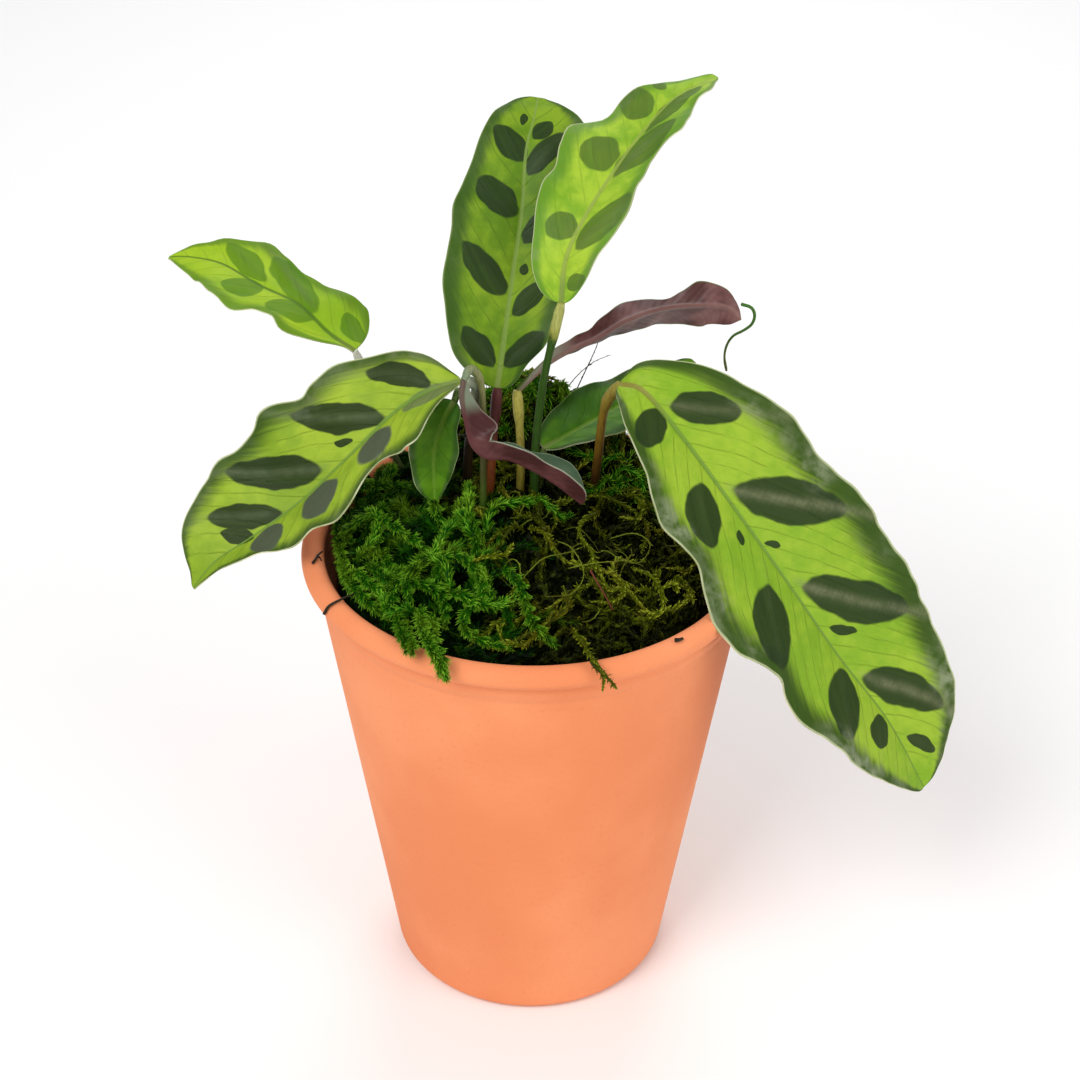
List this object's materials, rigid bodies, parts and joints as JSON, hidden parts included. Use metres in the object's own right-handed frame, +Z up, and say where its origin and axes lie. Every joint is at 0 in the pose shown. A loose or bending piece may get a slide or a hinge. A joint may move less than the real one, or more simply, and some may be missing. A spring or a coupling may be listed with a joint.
{
  "type": "potted calathea",
  "caption": "Young rattlesnake calathea with spotted, wavy leaves on slim stalks, standing in moss and soil in a plain terracotta pot.",
  "frame": {"origin": "centre of the pot's foot, on the surface that the pot stands on", "axes": "+Z up along the pot's axis; -Y is the front, the side with the longest clear view of the moss; +X is to the right, towards the long drooping leaf"},
  "size_m": [0.2102, 0.1202, 0.2408],
  "materials": {
    "terracotta": "matte unglazed, slightly chalky",
    "soil": "dark loose potting soil",
    "moss_green": "soft bright moss",
    "moss_olive": "dry stringy moss",
    "leaf_lime": "satin leaf, lime with dark green ovals and a dark margin",
    "leaf_green": "satin leaf, mid green",
    "leaf_maroon": "satin maroon underside",
    "stalk_green": "smooth green stalk",
    "stalk_maroon": "smooth brown to maroon stalk"
  },
  "bodies": {
    "root": {"pot": "terracotta", "soil": "soil", "moss_green": "moss_green", "moss_olive": "moss_olive", "leaf_tall_back": "leaf_lime", "leaf_upright_right": "leaf_lime", "leaf_far_left": "leaf_lime", "leaf_low_left": "leaf_lime", "leaf_long_right": "leaf_lime", "leaf_purple_back": "leaf_maroon", "leaf_curled_centre": "leaf_maroon", "leaf_small_right": "leaf_green", "leaf_small_left": "leaf_green", "stalk_tall_back": "stalk_maroon", "stalk_upright_right": "stalk_green", "stalk_far_left": "stalk_green", "stalk_low_left": "stalk_maroon", "stalk_long_right": "stalk_maroon", "stalk_purple_back": "stalk_green", "stalk_curled_centre": "stalk_maroon", "stalk_small_right": "stalk_green", "stalk_small_left": "stalk_green", "tip_tendril": "stalk_green"}
  },
  "joints": []
}
